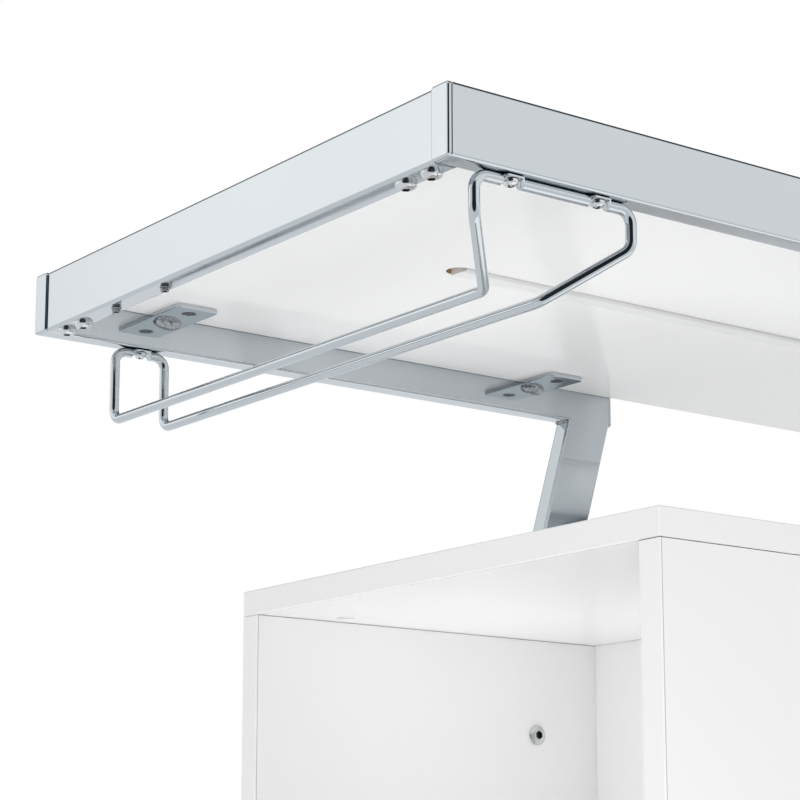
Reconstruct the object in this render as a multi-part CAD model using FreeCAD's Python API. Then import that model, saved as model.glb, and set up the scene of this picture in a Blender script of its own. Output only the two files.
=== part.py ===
import FreeCAD, Part
import math
import os

Vector = FreeCAD.Vector

# Bar cabinet with a raised counter, all sizes in millimetres.
# X runs along the counter, Y from the serving side (near) to the guests' side (far), Z up.
# The origin is the middle of the whole object on the floor.

# Overall sizes
bar_height = 1060.0
counter_length = 1200.0
frame_depth = 422.0
counter_stand_off = 151.0
cabinet_inset = 147.0
leg_gap = 2.2

# Rectangular tube of the frames
tube_height = 38.0
tube_width = 14.0
tube_wall = 1.2
tube_corner = 2.0
cap_thickness = 2.5
cap_plug_depth = 8.0
cap_plug_gap = 0.2
arm_reach = 469.5
leg_lean = 16.5
leg_lap = 300.0

# Boards
counter_thickness = 16.0
counter_gap = 0.5
board_thickness = 16.0
edge_break = 0.5
groove_width = 16.0
groove_depth = 9.0
groove_from_end = 164.0
stiffener_width = 15.8
stiffener_thickness = 10.0
stiffener_start = 8.0

# Tabs that carry the counter board
tab_width = 30.0
tab_length = 38.5
tab_thickness = 3.0
tab_corner = 3.0
tab_from_end = 87.5
tab_pitch = 306.0
tab_hole_from_face = 26.9
tab_screw_head = 9.6
tab_screw_shank = 5.0
tab_screw_length = 14.0
tab_screw_sink = 2.6

# Corner joint of each frame: a tongue in the beam and two screws from below, with two spare holes beside
tongue_length = 42.0
tongue_gap = 0.25
beam_screw_first = 11.3
beam_screw_pitch = 20.8
beam_screw_head = 11.4
beam_screw_rise = 3.8
beam_screw_socket = 4.0
beam_screw_shank = 6.0
beam_screw_length = 13.0
spare_hole_bore = 6.0
spare_holes_from_arm = 101.0
spare_screw_length = 9.0
spare_screw_proud = 3.6
spare_screw_socket = 3.0

# Stemware rack, one closed loop of round wire
wire = 6.0
wire_bend = 7.5
rack_from_end = 72.2
rack_rail_pitch = 36.0
rack_mouth_pitch = 102.0
rack_rail_drop = 48.6
rack_mouth_drop = 22.8
rack_mouth_run = 34.0
rack_screw_pitch = 56.5
land_length = 11.0
land_taper = 4.5
land_width = 8.6
land_thickness = 3.4
rack_screw_head = 8.0
rack_screw_rise = 2.8
rack_screw_shank = 4.0
rack_screw_length = 10.0

# Leg bolts, from inside the cabinet into tapped holes in the legs
leg_bolt_drop = 233.0
leg_bolt_pitch = 160.0
leg_bolt_head = 13.5
leg_bolt_rise = 3.0
leg_bolt_socket = 5.0
leg_bolt_shank = 6.0
leg_bolt_in_leg = 9.0
leg_spacer = 20.0
running_gap = 0.1

# Inside of the cabinet
compartment_depth = 286.0
shelf_level = 430.0
shelf_setback = 10.0
shelf_side_gap = 1.0
shelf_pin_gap = 0.3
shelf_pin = 5.0
shelf_pin_sunk = 10.0
shelf_pin_reach = 9.0
shelf_pin_head = 7.0
shelf_pin_inset = 45.0

# Bottle rails
bottle_columns = 3
bottle_rows = 3
bottle_row_pitch = 118.0
bottle_first_row = 66.0
bottle_body_radius = 39.0
bottle_neck_radius = 17.0
rail_height = 42.0
body_rail_below_axis = 12.0
neck_rail_below_axis = 4.0
neck_rail_setback = 22.0
body_rail_setback = 250.0
housing_depth = 5.0
housing_gap = 0.2

# Carcass fittings
dowel = 8.0
dowel_half = 12.0
dowel_inset = 40.0
cam = 15.0
cam_length = 12.5
cam_from_edge = 34.0
cam_inset = 60.0
cam_pin = 7.0
cam_pin_in_top = 10.0
ceiling_bore = 12.0
ceiling_bore_depth = 9.0
ceiling_bore_from_side = 19.0
ceiling_bore_from_end = 56.0
glide = 30.0
glide_height = 5.0
glide_inset = 30.0
overrun = 1.0

# Small round parts have this many flats, fewer where they are out of sight
head_flats = 12
shank_flats = 8
socket_flats = 6
glide_flats = 16
wire_flats = 8
corner_flats = 3
scallop_flats = 24
steps_per_quarter = 3

# Places worked out from the sizes above
half_length = counter_length / 2
half_depth = frame_depth / 2
tube_bottom = bar_height - tube_height
arm_inner = half_depth - tube_width
arm_middle = half_depth - tube_width / 2
beam_x = -half_length + cap_thickness + tube_width / 2
cabinet_top = tube_bottom - counter_stand_off
cabinet_length = counter_length - 2 * cabinet_inset
cabinet_half = cabinet_length / 2
side_outer = arm_inner - leg_gap
side_inner = side_outer - board_thickness
floor_top = glide_height + board_thickness
ceiling = cabinet_top - board_thickness
divider_outer = cabinet_half - compartment_depth
bay_half = divider_outer - board_thickness
leg_edge = half_length - arm_reach + cap_thickness
leg_half_across = tube_height / 2 / math.cos(math.radians(leg_lean))
leg_foot = cabinet_top - leg_lap
rack_centre = -half_length + rack_from_end
# Corners of the wire's flat-sided outline, which has the round wire's area
wire_corner = wire / 2 * math.sqrt(2 * math.pi / (wire_flats * math.sin(2 * math.pi / wire_flats)))
flat_tolerance = running_gap / 100000

# Corners of the flat-sided outlines, as shares of a whole turn
head_turns = [(step + 1 / 2) / head_flats for step in range(head_flats)]
shank_turns = [(step + 1 / 2) / shank_flats for step in range(shank_flats)]
socket_turns = [(step + 1 / 2) / socket_flats for step in range(socket_flats)]
glide_turns = [(step + 1 / 2) / glide_flats for step in range(glide_flats)]
wire_turns = [(step + 1 / 2) / wire_flats for step in range(wire_flats)]
scallop_turns = [(step + 1 / 2) / scallop_flats for step in range(scallop_flats)]


def save(name, shape):
    """Write one node."""
    shape.exportStep(os.path.join("parts", name + ".step"))


def block(x0, x1, y0, y1, z0, z1):
    """A box from its two corners."""
    return Part.makeBox(x1 - x0, y1 - y0, z1 - z0, Vector(x0, y0, z0))


def board(x0, x1, y0, y1, z0, z1):
    """A board with its edges broken."""
    shape = block(x0, x1, y0, y1, z0, z1)
    return shape.makeChamfer(edge_break, shape.Edges)


def ring(centre, along, up, radius, turns):
    """Corners of a many-sided outline round a centre, with a flat on the side that up points to."""
    side = along.cross(up)
    angles = [turn * 2 * math.pi for turn in turns]
    return [centre + up * (radius * math.cos(angle)) + side * (radius * math.sin(angle)) for angle in angles]


def flat_face(corners):
    return Part.Face(Part.makePolygon(corners + corners[:1]))


def patch(a, b, c, d):
    """One flat face, or two where the corners are not in one plane."""
    if abs((b - a).cross(c - a).dot(d - a)) < flat_tolerance:
        return [flat_face([a, b, c, d])]
    return [flat_face([a, b, c]), flat_face([a, c, d])]


def skinned(rings, closed=False):
    """A solid with flat faces from ring to ring."""
    pairs = list(zip(rings, rings[1:]))
    if closed:
        pairs.append((rings[-1], rings[0]))
        faces = []
    else:
        faces = [flat_face(rings[0]), flat_face(rings[-1])]
    for near, far in pairs:
        for index in range(len(near)):
            faces += patch(near[index - 1], near[index], far[index], far[index - 1])
    solid = Part.Solid(Part.Shell(faces))
    if solid.Volume < 0:
        solid.reverse()
    return solid


def turned_pin(start, along, profile, turns):
    """A pin of several sizes from pairs of distance and radius, along one of the axes."""
    up = Vector(abs(along.y), abs(along.z), abs(along.x))
    return skinned([ring(start + along * distance, along, up, radius, turns) for distance, radius in profile])


def rod(radius, start, end, turns=shank_turns):
    """A small round pin between two points along one of the axes."""
    along = end - start
    length = along.Length
    return turned_pin(start, along.normalize(), [(0, radius), (length, radius)], turns)


def drilled(shape, holes):
    """The shape with all its holes cut in one go."""
    return shape.cut(Part.makeCompound(holes))


def mirror_x(shape):
    return shape.mirror(Vector(0, 0, 0), Vector(1, 0, 0))


def mirror_y(shape):
    return shape.mirror(Vector(0, 0, 0), Vector(0, 1, 0))


def both_y(shapes):
    """The shapes and their twins across the long middle plane."""
    return shapes + [mirror_y(shape) for shape in shapes]


def both_x(shapes):
    """The shapes and their twins at the other end of the counter."""
    return shapes + [mirror_x(shape) for shape in shapes]


def group(shapes):
    return Part.makeCompound(shapes)


def rounded_bar(length, height, width, corner):
    """A bar along Z, its height along X and its width along Y, with rounded long edges."""
    outline = []
    for quarter, (x, y) in enumerate(((1, 1), (-1, 1), (-1, -1), (1, -1))):
        centre = Vector(x * (height / 2 - corner), y * (width / 2 - corner), 0)
        for step in range(corner_flats + 1):
            angle = (quarter + step / corner_flats) * math.pi / 2
            outline.append(centre + Vector(corner * math.cos(angle), corner * math.sin(angle), 0))
    return flat_face(outline).extrude(Vector(0, 0, length))


def plain_bar(length, height, width):
    return Part.makeBox(height, width, length, Vector(-height / 2, -width / 2, 0))


def upright_edges(shape):
    return [edge for edge in shape.Edges if edge.Vertexes[0].X == edge.Vertexes[-1].X
            and edge.Vertexes[0].Y == edge.Vertexes[-1].Y]


def tube(length):
    """The frame's rectangular tube along Z."""
    outer = rounded_bar(length, tube_height, tube_width, tube_corner)
    bore = plain_bar(length + 2 * overrun, tube_height - 2 * tube_wall, tube_width - 2 * tube_wall)
    bore.translate(Vector(0, 0, -overrun))
    return outer.cut(bore)


def lay_along_x(shape):
    """Turn a bar from Z to X, with its height upright."""
    shape.rotate(Vector(0, 0, 0), Vector(0, 1, 0), 90)
    return shape


def lay_along_y(shape):
    """Turn a bar from Z to Y, with its height upright."""
    lay_along_x(shape)
    shape.rotate(Vector(0, 0, 0), Vector(0, 0, 1), 90)
    return shape


def button_screw(seat, along, head, rise, socket, shank, length):
    """A button-head screw with a hexagon socket, its shank pointing along from the seat."""
    rim = rise / 4
    shoulder = head * 7 / 20
    body = turned_pin(seat, -along, [(0, head / 2), (rim, head / 2), (rise, shoulder)], head_turns)
    mouth = seat - along * (rise + overrun)
    hexagon = rod(socket / math.sqrt(3), mouth, seat - along * (rise / 3), socket_turns)
    return body.cut(hexagon).fuse(rod(shank / 2, seat, seat + along * length)).removeSplitter()


def pan_screw(seat, along, head, rise, shank, length):
    """A pan-head screw, its shank pointing along from the seat."""
    shoulder = head * 7 / 20
    body = turned_pin(seat, -along, [(0, head / 2), (rise / 2, head / 2), (rise, shoulder)], head_turns)
    return body.fuse(rod(shank / 2, seat, seat + along * length)).removeSplitter()


def beam_screw_places():
    """Seats of the two screws at the near left corner, under the beam's centre line."""
    first = -arm_inner + beam_screw_first
    return [Vector(beam_x, first + step * beam_screw_pitch, tube_bottom) for step in range(2)]


def rack_screw_places():
    """Seats of the rack's screws: two under the near arm, one under the far arm."""
    line = arm_middle
    mouth = [Vector(rack_centre + side * rack_screw_pitch / 2, -line, tube_bottom) for side in (-1, 1)]
    return mouth + [Vector(rack_centre, line, tube_bottom)]


def leg_axis_x(z):
    """Where the centre line of the left legs is at a height."""
    return -leg_edge - leg_half_across - math.tan(math.radians(leg_lean)) * (tube_bottom - z)


def leg_bolt_places():
    """Points on the centre line of the far left leg, in the plane of its inner face."""
    levels = [tube_bottom - leg_bolt_drop - step * leg_bolt_pitch for step in range(2)]
    return [Vector(leg_axis_x(z), arm_inner, z) for z in levels]


def make_arm():
    """The far left arm, with holes for the rack's screws."""
    length = arm_reach - 2 * cap_thickness
    shape = lay_along_x(tube(length))
    shape.translate(Vector(-half_length + cap_thickness, arm_middle, tube_bottom + tube_height / 2))
    return shape


def arm_holes(places):
    """Tapped holes through the lower wall."""
    below = Vector(0, 0, overrun)
    above = Vector(0, 0, tube_wall + overrun)
    return [rod(rack_screw_shank / 2, place - below, place + above) for place in places]


def make_arm_cap():
    """The end cap of the far left arm at the end of the counter: a plate with a plug."""
    plate = rounded_bar(cap_thickness, tube_height, tube_width, tube_corner)
    inset = 2 * (tube_wall + cap_plug_gap)
    plug = plain_bar(cap_plug_depth, tube_height - inset, tube_width - inset)
    plug.translate(Vector(0, 0, cap_thickness))
    shape = lay_along_x(plate.fuse(plug))
    shape.translate(Vector(-half_length, arm_middle, tube_bottom + tube_height / 2))
    return shape


def arm_caps():
    """Caps at both ends of both arms of the left frame."""
    middle = -half_length + arm_reach / 2
    outer = make_arm_cap()
    inner = outer.mirror(Vector(middle, 0, 0), Vector(1, 0, 0))
    return group(both_y([outer, inner]))


def leaning(shape, above):
    """A bar along Z set on the centre line of the far left leg, starting above the arm's underside."""
    shape.translate(Vector(0, 0, above))
    shape.rotate(Vector(0, 0, 0), Vector(0, 1, 0), leg_lean)
    shape.translate(Vector(leg_axis_x(tube_bottom), arm_middle, tube_bottom))
    return shape


def level_slice(shape, z0, z1):
    """What lies between two heights."""
    box = shape.BoundBox
    return shape.common(block(box.XMin, box.XMax, box.YMin, box.YMax, z0, z1))


def make_leg():
    """The far left leg: the tube, leaning, cut level at both ends, with tapped holes for its bolts."""
    slant = (tube_bottom - leg_foot) / math.cos(math.radians(leg_lean))
    spare = tube_height
    shape = level_slice(leaning(tube(slant + 2 * spare), -slant - spare), leg_foot, tube_bottom)
    holes = [rod(leg_bolt_shank / 2 + running_gap, place - Vector(0, overrun, 0),
                 place + Vector(0, tube_wall + overrun, 0)) for place in leg_bolt_places()]
    return drilled(shape, holes)


def make_leg_cap():
    """The cap that closes the far left leg's foot, cut level like the leg."""
    slant = (tube_bottom - leg_foot) / math.cos(math.radians(leg_lean))
    spare = tube_height
    plate = level_slice(leaning(rounded_bar(2 * spare, tube_height, tube_width, tube_corner), -slant - spare),
                        leg_foot - cap_thickness, leg_foot)
    inset = 2 * (tube_wall + cap_plug_gap)
    plug = plain_bar(2 * spare, tube_height - inset, tube_width - inset)
    plug = level_slice(leaning(plug, -slant - spare), leg_foot, leg_foot + cap_plug_depth)
    return plate.fuse(plug)


def make_leg_spacer(place):
    """A washer between the leg and the side panel."""
    start = place - Vector(0, leg_gap, 0)
    hole = rod(leg_bolt_shank / 2 + running_gap, start - Vector(0, overrun, 0), place + Vector(0, overrun, 0))
    return rod(leg_spacer / 2, start, place, head_turns).cut(hole)


def spare_hole_places():
    """The two spare holes under the beam, a pair of rack screws apart."""
    middle = arm_inner - spare_holes_from_arm
    return [Vector(beam_x, middle + side * rack_screw_pitch / 2, tube_bottom) for side in (-1, 1)]


def make_spare_screw(place):
    """A headless screw that closes a spare hole and stands a little proud of the beam."""
    foot = place - Vector(0, 0, spare_screw_proud)
    body = rod(spare_hole_bore / 2 - running_gap, foot, foot + Vector(0, 0, spare_screw_length))
    mouth = foot - Vector(0, 0, overrun)
    depth = Vector(0, 0, overrun + spare_screw_socket)
    return body.cut(rod(spare_screw_socket / math.sqrt(3), mouth, mouth + depth, socket_turns))


def make_beam():
    """The left end beam, with clearance for its screws and two spare holes in its underside."""
    shape = lay_along_y(tube(2 * arm_inner))
    shape.translate(Vector(beam_x, -arm_inner, tube_bottom + tube_height / 2))
    up = Vector(0, 0, tube_wall + overrun)
    down = Vector(0, 0, overrun)
    seats = both_y_places(beam_screw_places())
    holes = [rod(beam_screw_shank / 2 + running_gap, seat - down, seat + up) for seat in seats]
    holes += [rod(spare_hole_bore / 2, spare - down, spare + up) for spare in spare_hole_places()]
    return drilled(shape, holes)


def both_y_places(places):
    return places + [Vector(place.x, -place.y, place.z) for place in places]


def make_tongue():
    """The bar on the near arm's inner face that fills the beam's end and takes its two screws."""
    inset = 2 * (tube_wall + tongue_gap)
    shape = lay_along_y(plain_bar(tongue_length, tube_height - inset, tube_width - inset))
    # It sits on the beam's lower wall, where the screws draw it.
    shape.translate(Vector(beam_x, -arm_inner,
                           tube_bottom + tube_height / 2 - tongue_gap))
    holes = [rod(beam_screw_shank / 2 + running_gap, seat, seat + Vector(0, 0, beam_screw_length + overrun))
             for seat in beam_screw_places()]
    return drilled(shape, holes)


def tab_stations():
    return [-half_length + tab_from_end + step * tab_pitch for step in range(2)]


def make_tab(station):
    """A plate welded to the far arm's inner face, under the board, with a countersunk hole."""
    top = bar_height - counter_thickness
    shape = block(station - tab_width / 2, station + tab_width / 2, arm_inner - tab_length, arm_inner,
                  top - tab_thickness, top)
    free_corners = [edge for edge in upright_edges(shape) if edge.Vertexes[0].Y < arm_inner - tab_length / 2]
    shape = shape.makeChamfer(tab_corner, free_corners)
    seat = Vector(station, arm_inner - tab_hole_from_face, top - tab_thickness)
    return shape.cut(countersunk(seat, running_gap, tab_thickness + overrun))


def countersunk(seat, gap, length):
    """The outline of a countersunk screw pointing up, its head flush with the seat."""
    head = tab_screw_head / 2 + gap
    shank = tab_screw_shank / 2 + gap
    profile = [(0, head), (tab_screw_sink, shank), (length, shank)]
    return turned_pin(seat, Vector(0, 0, 1), profile, shank_turns)


def tab_screws():
    """Screws through all tabs into the board."""
    seat_z = bar_height - counter_thickness - tab_thickness
    places = [Vector(station, arm_inner - tab_hole_from_face, seat_z) for station in tab_stations()]
    screws = [countersunk(place, 0, tab_screw_length) for place in places]
    return both_x(both_y(screws))


def left_tabs():
    return group(both_y([make_tab(station) for station in tab_stations()]))


def make_counter_board():
    """The board between the arms, with the long groove in its underside and pilot holes."""
    end = -beam_x - tube_width / 2 - counter_gap
    side = arm_inner - counter_gap
    bottom = bar_height - counter_thickness
    shape = board(-end, end, -side, side, bottom, bar_height)
    reach = half_length - groove_from_end - groove_width / 2
    edge = groove_width / 2
    cuts = [block(-reach, reach, -edge, edge, bottom - overrun, bottom + groove_depth)]
    cuts += both_x([Part.makeCylinder(edge, groove_depth + overrun, Vector(-reach, 0, bottom - overrun))])
    pilot_top = tab_screw_length - tab_thickness + overrun
    seats = [Vector(station, arm_inner - tab_hole_from_face, bottom) for station in tab_stations()]
    cuts += both_x(both_y([rod(tab_screw_shank / 2 + running_gap, seat, seat + Vector(0, 0, pilot_top))
                           for seat in seats]))
    return shape.cut(cuts[0].multiFuse(cuts[1:]))


def make_stiffener():
    """The flat bar let into the groove, against the groove's roof."""
    reach = half_length - groove_from_end - stiffener_start
    roof = bar_height - counter_thickness + groove_depth
    return block(-reach, reach, -stiffener_width / 2, stiffener_width / 2, roof - stiffener_thickness, roof)


def land_ring(x, y, top):
    """Corners of the wire where it is pressed flat, across X, in the order of ring()."""
    half_width = land_width / 2
    half_thickness = land_thickness / 2
    corners = [(half_width - half_thickness, half_thickness), (half_width, half_thickness / 2)]
    corners += [(side, -up) for side, up in reversed(corners)]
    corners += [(-side, up) for side, up in reversed(corners)]
    return [Vector(x, y - side, top - half_thickness + up) for side, up in corners]


def from_nearest(corners, other):
    """The same corners, counted from the one that lies best against the other ring."""
    turns = [corners[step:] + corners[:step] for step in range(len(corners))]
    turns += [list(reversed(turn)) for turn in turns]
    return min(turns, key=lambda turn: sum((a - b).Length for a, b in zip(turn, other)))


def land_rings(x, y, top, rings):
    """Rings of a flattened stretch of crossbar, from the previous ring on towards x."""
    half = land_length / 2
    outer = half + land_taper
    last = rings[-1]
    middle = sum(last, Vector(0, 0, 0)) / len(last)
    way = math.copysign(1, x - middle.x)
    added = []
    for distance, flat in ((-outer, False), (-half, True), (half, True), (outer, False)):
        station = x + way * distance
        if flat:
            added.append(from_nearest(land_ring(station, y, top), last))
        else:
            added.append([corner + Vector(station - middle.x, 0, 0) for corner in last])
    return added


def bend_rings(last, corner, along, ahead):
    """Rings round one bend, each turned on a little from the last one."""
    axis = along.cross(ahead).normalize()
    turn = along.getAngle(ahead)
    start = corner - along * (wire_bend * math.tan(turn / 2))
    centre = start + axis.cross(along) * wire_bend
    steps = math.ceil(turn / (math.pi / 2) * steps_per_quarter)
    middle = sum(last, Vector(0, 0, 0)) / len(last)
    rings = []
    for step in range(steps + 1):
        spin = FreeCAD.Rotation(axis, math.degrees(turn * step / steps))
        rings.append([centre + spin.multVec(start + point - middle - centre) for point in last])
    return rings


def rack_path():
    """Corners of the rack's right half, from the middle of its mouth to the middle of its far end."""
    line = arm_middle
    top = tube_bottom - wire_corner
    rail_z = tube_bottom - rack_rail_drop
    mouth_z = tube_bottom - rack_mouth_drop
    rail = rack_rail_pitch / 2
    mouth = rack_mouth_pitch / 2
    mouth_part = [Vector(0, -line, top), Vector(mouth, -line, top), Vector(mouth, -line, mouth_z)]
    rail_part = [Vector(rail, rack_mouth_run - line, rail_z), Vector(rail, line, rail_z)]
    return mouth_part + rail_part + [Vector(rail, line, top), Vector(0, line, top)]


def make_rack():
    """The stemware rack: a narrow pair of rails that flares out to a wide, raised mouth."""
    path = rack_path()
    along = Vector(1, 0, 0)
    rings = [ring(path[0], along, Vector(0, 0, 1), wire_corner, wire_turns)]
    rings += land_rings(rack_screw_pitch / 2, path[0].y, tube_bottom, rings)
    for corner, following in zip(path[1:], path[2:]):
        ahead = (following - corner).normalize()
        rings += bend_rings(rings[-1], corner, along, ahead)
        along = ahead
    rings += land_rings(0, path[-1].y, tube_bottom, rings)[:2]
    mirrored = [[Vector(-point.x, point.y, point.z) for point in points] for points in reversed(rings[1:])]
    shape = skinned(rings + mirrored, True)
    shape.translate(Vector(rack_centre, 0, 0))
    holes = [rod(rack_screw_shank / 2 + running_gap, seat - Vector(0, 0, wire), seat + Vector(0, 0, overrun))
             for seat in rack_screw_places()]
    return drilled(shape, holes)


def rack_screws():
    """Pan-head screws through the flattened stretches into the arms."""
    seats = [seat - Vector(0, 0, land_thickness) for seat in rack_screw_places()]
    up = Vector(0, 0, 1)
    return group([pan_screw(seat, up, rack_screw_head, rack_screw_rise, rack_screw_shank, rack_screw_length)
                  for seat in seats])


def left_beam_screws():
    """Button-head screws up through the beam into its tongues."""
    up = Vector(0, 0, 1)
    screws = [button_screw(seat, up, beam_screw_head, beam_screw_rise, beam_screw_socket,
                           beam_screw_shank, beam_screw_length) for seat in beam_screw_places()]
    return group(both_y(screws))


def save_frame(end, turned):
    """Write one end's frame; turned carries a left shape to that end."""
    far_arm = make_arm()
    seats = rack_screw_places()
    near_arm = drilled(mirror_y(far_arm), arm_holes(seats[:2]))
    pieces = {
        "far_arm": drilled(far_arm, arm_holes(seats[2:])),
        "near_arm": near_arm,
        "end_beam": make_beam(),
        "far_leg": make_leg(),
        "near_leg": mirror_y(make_leg()),
        "arm_caps": arm_caps(),
        "leg_caps": group(both_y([make_leg_cap()])),
        "corner_tongues": group(both_y([make_tongue()])),
        "board_tabs": left_tabs(),
        "beam_screws": left_beam_screws(),
        "spare_screws": group([make_spare_screw(place) for place in spare_hole_places()]),
        "stemware_rack": make_rack(),
        "rack_screws": rack_screws(),
        "leg_spacers": group(both_y([make_leg_spacer(place) for place in leg_bolt_places()])),
    }
    for name, shape in pieces.items():
        save(end + "_" + name, turned(shape))


def leg_bolt_holes():
    """Clearance holes through the side panels."""
    outer = Vector(0, leg_gap - overrun, 0)
    inner = Vector(0, leg_gap + board_thickness + overrun, 0)
    radius = leg_bolt_shank / 2 + running_gap
    return both_x(both_y([rod(radius, place - outer, place - inner) for place in leg_bolt_places()]))


def leg_bolts():
    """Bolts from inside the end compartments."""
    grip = board_thickness + leg_gap + leg_bolt_in_leg
    seats = [Vector(place.x, side_inner, place.z) for place in leg_bolt_places()]
    outward = Vector(0, 1, 0)
    bolts = [button_screw(seat, outward, leg_bolt_head, leg_bolt_rise, leg_bolt_socket, leg_bolt_shank, grip)
             for seat in seats]
    return both_x(both_y(bolts))


def cam_stations():
    """Distances along Y of the cam joints in each divider."""
    return [side * (side_inner - cam_inset) for side in (-1, 1)]


def cam_shapes(gap):
    """The cams in the left divider's bay face, at its top and bottom edges."""
    shapes = []
    for y in cam_stations():
        for z in (ceiling - cam_from_edge, floor_top + cam_from_edge):
            face = Vector(-bay_half, y, z)
            shapes.append(rod(cam / 2 + gap, face, face - Vector(cam_length + gap, 0, 0), head_turns))
    return shapes


def cam_pin_shapes(gap):
    """The pins from the left divider's cams into the top and bottom panels."""
    shapes = []
    x = -bay_half - board_thickness / 2
    reach = cam_from_edge - cam / 2
    for y in cam_stations():
        upper = Vector(x, y, ceiling)
        lower = Vector(x, y, floor_top)
        sunk = Vector(0, 0, cam_pin_in_top + gap)
        shapes.append(rod(cam_pin / 2 + gap, upper - Vector(0, 0, reach), upper + sunk))
        shapes.append(rod(cam_pin / 2 + gap, lower - sunk, lower + Vector(0, 0, reach)))
    return shapes


def upright_dowel_places():
    """Where the side panels stand on dowels: far panel, then both near panels."""
    line = side_outer - board_thickness / 2
    outer = cabinet_half - dowel_inset
    inner = divider_outer + dowel_inset
    far = [Vector(x, line, 0) for x in (-outer, outer)]
    return far + [Vector(x, -line, 0) for x in (-outer, -inner, inner, outer)]


def upright_dowels(gap):
    """Dowels between the side panels and the top and bottom panels."""
    half = Vector(0, 0, dowel_half + gap)
    shapes = []
    for place in upright_dowel_places():
        for z in (ceiling, floor_top):
            middle = place + Vector(0, 0, z)
            shapes.append(rod(dowel / 2 + gap, middle - half, middle + half))
    return shapes


def level_dowels(gap):
    """Dowels between the left divider and the near and far panels."""
    half = Vector(0, dowel_half + gap, 0)
    x = -bay_half - board_thickness / 2
    middles = [Vector(x, side * side_inner, ceiling - 2 * cam_inset) for side in (-1, 1)]
    return [rod(dowel / 2 + gap, middle - half, middle + half) for middle in middles]


def rail_axis_levels():
    return [floor_top + bottle_first_row + row * bottle_row_pitch for row in range(bottle_rows)]


def neck_rail_front():
    return -side_outer + neck_rail_setback


def body_rail_front():
    return -side_outer + body_rail_setback


def housings():
    """Stopped housings in the left divider for the ends of the bay shelf and the bottle rails."""
    shelf_top = shelf_level + board_thickness
    cuts = [housing(-side_inner + shelf_setback, side_inner + overrun, shelf_level, shelf_top)]
    rails = ((neck_rail_front(), neck_rail_below_axis), (body_rail_front(), body_rail_below_axis))
    for axis_z in rail_axis_levels():
        for front, below in rails:
            top = axis_z - below
            cuts.append(housing(front, front + board_thickness, top - rail_height, top))
    return cuts


def housing(y0, y1, z0, z1):
    """One housing: the piece rests on its floor."""
    return block(-bay_half - housing_depth, -bay_half + overrun, y0 - housing_gap, y1 + housing_gap,
                 z0, z1 + housing_gap)


def pin_places():
    """Centres of the left shelf's pins on the far panel's inner face."""
    z = shelf_level - shelf_pin_gap - shelf_pin_head / 2
    outer = -cabinet_half + shelf_setback + shelf_pin_inset
    inner = -divider_outer - shelf_pin_inset
    return [Vector(x, side_inner, z) for x in (outer, inner)]


def pin_holes():
    """Holes for the pins of the loose shelves."""
    holes = [rod(shelf_pin / 2 + running_gap, place - Vector(0, overrun, 0),
                 place + Vector(0, shelf_pin_sunk + running_gap, 0)) for place in pin_places()]
    return both_x(both_y(holes))


def shelf_pins():
    """Pins with a flat-topped head for the left shelf."""
    half = shelf_pin_head / 2
    shapes = []
    for place in pin_places():
        head = block(place.x - half, place.x + half, place.y - shelf_pin_reach, place.y,
                     place.z - half, place.z + half)
        stem = rod(shelf_pin / 2, place, place + Vector(0, shelf_pin_sunk, 0))
        shapes.append(head.fuse(stem))
    return both_y(shapes)


def make_loose_shelf():
    """The left compartment's loose shelf."""
    return board(-cabinet_half + shelf_setback, -divider_outer - shelf_side_gap,
                 -side_inner + shelf_side_gap, side_inner - shelf_side_gap,
                 shelf_level, shelf_level + board_thickness)


def make_rail(front, axis_z, below, radius):
    """A rail between the dividers, scalloped for each bottle."""
    top = axis_z - below
    end = bay_half + housing_depth - housing_gap
    shape = block(-end, end, front, front + board_thickness, top - rail_height, top)
    pitch = 2 * bay_half / bottle_columns
    centres = [Vector(-bay_half + (column + 1 / 2) * pitch, front - overrun, axis_z)
               for column in range(bottle_columns)]
    through = board_thickness + 2 * overrun
    cuts = [rod(radius, centre, centre + Vector(0, through, 0), scallop_turns) for centre in centres]
    return drilled(shape, cuts)


def save_bay():
    """The fixed shelf and the bottle rails of the middle bay."""
    end = bay_half + housing_depth - housing_gap
    save("bay_shelf", board(-end, end, -side_inner + shelf_setback, side_inner, shelf_level,
                            shelf_level + board_thickness))
    for row, axis_z in enumerate(rail_axis_levels()):
        neck = make_rail(neck_rail_front(), axis_z, neck_rail_below_axis, bottle_neck_radius)
        body = make_rail(body_rail_front(), axis_z, body_rail_below_axis, bottle_body_radius)
        save("bottle_neck_rail_" + str(row + 1), neck)
        save("bottle_body_rail_" + str(row + 1), body)


def ceiling_bores():
    """Open bores in the underside of the top panel."""
    mouth = Vector(-cabinet_half + ceiling_bore_from_end, side_inner - ceiling_bore_from_side, ceiling)
    bore = rod(ceiling_bore / 2, mouth - Vector(0, 0, overrun), mouth + Vector(0, 0, ceiling_bore_depth),
               head_turns)
    return both_x(both_y([bore]))


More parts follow.
